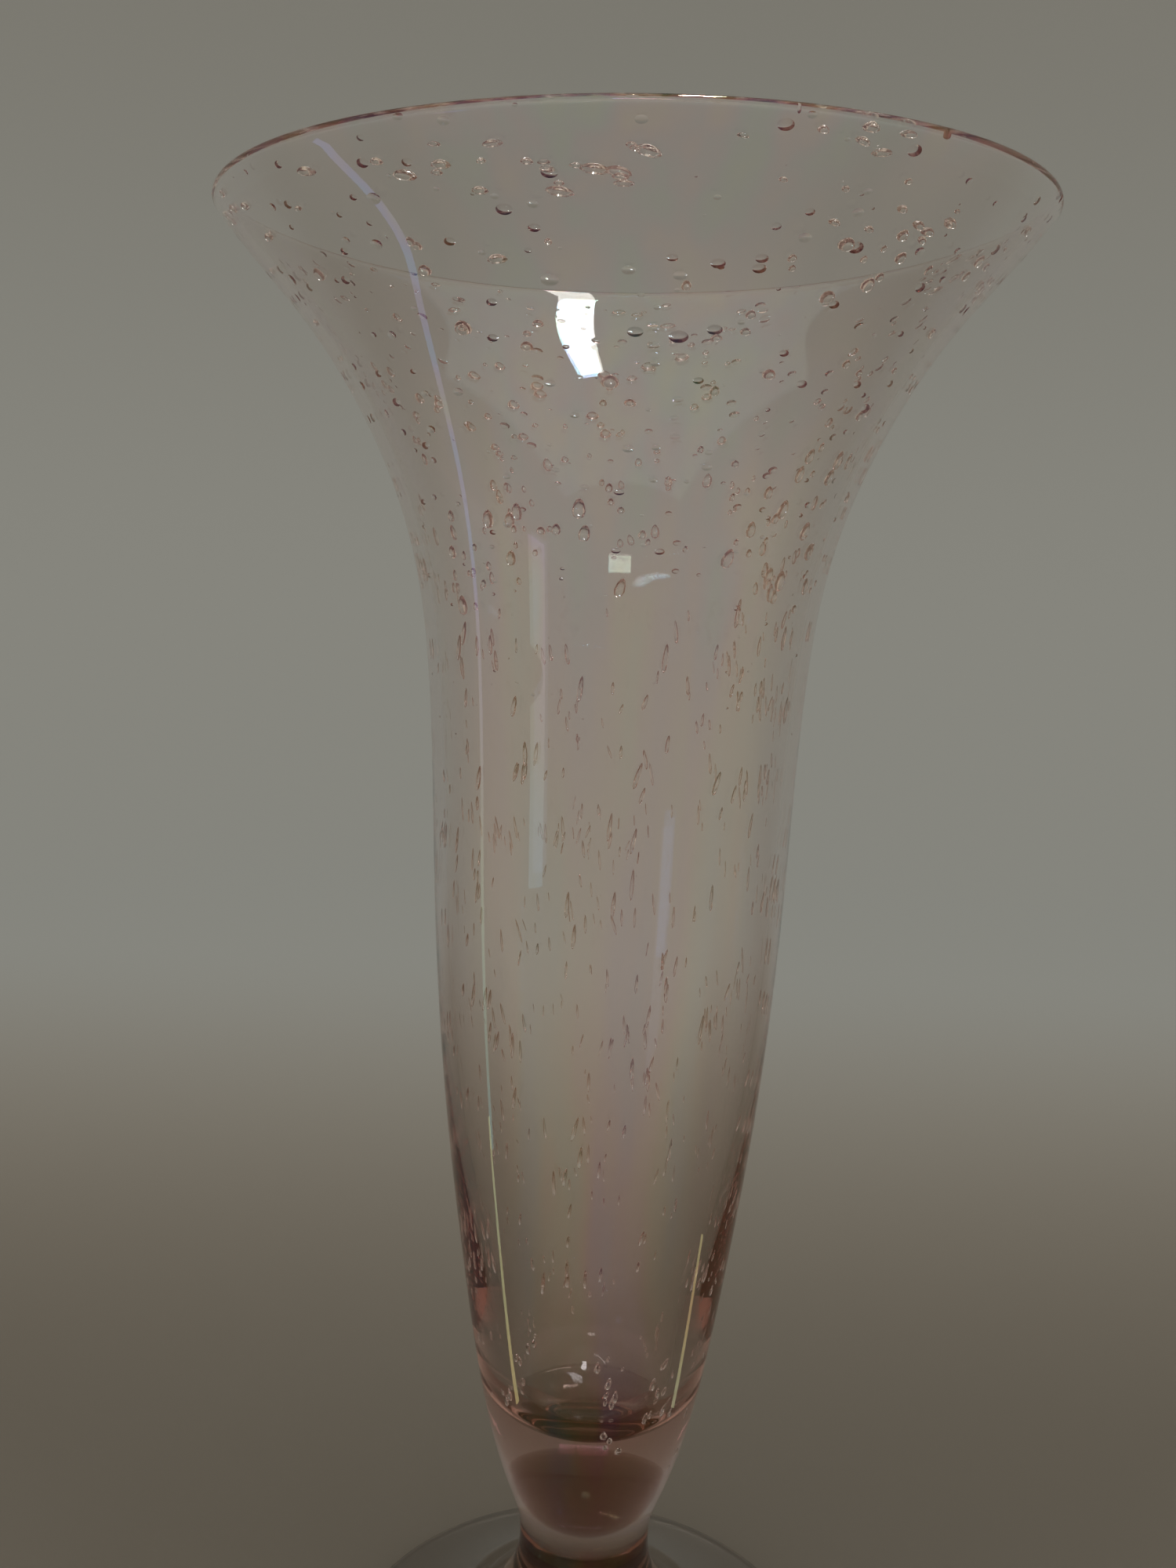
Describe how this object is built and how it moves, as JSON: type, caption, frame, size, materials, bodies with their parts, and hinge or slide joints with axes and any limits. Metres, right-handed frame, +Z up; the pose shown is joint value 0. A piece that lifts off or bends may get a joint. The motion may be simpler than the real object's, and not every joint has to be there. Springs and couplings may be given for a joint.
{
  "type": "trumpet vase",
  "caption": "Tall blown-glass trumpet vase: slender body, wide flared mouth, solid plugged base on a short post and a round disc foot.",
  "frame": {"origin": "centre of the foot's ground ring, on the surface that the vase rests on", "axes": "+Z up along the vase's axis of revolution; X and Y level, and alike because the vase is round"},
  "size_m": [0.1556, 0.1556, 0.3065],
  "materials": {
    "casing_glass": "clear seed-bubbled glass, fire-polished, with a faint iridescent sheen",
    "lining_glass": "pale rose glass, fire-polished",
    "post_glass": "rose glass, fire-polished",
    "foot_glass": "rose glass, fire-polished on top, with a polished hollow underneath"
  },
  "bodies": {
    "root": {"bowl_casing": "casing_glass", "bowl_lining": "lining_glass", "stem_post": "post_glass", "foot_disc": "foot_glass"}
  },
  "joints": []
}
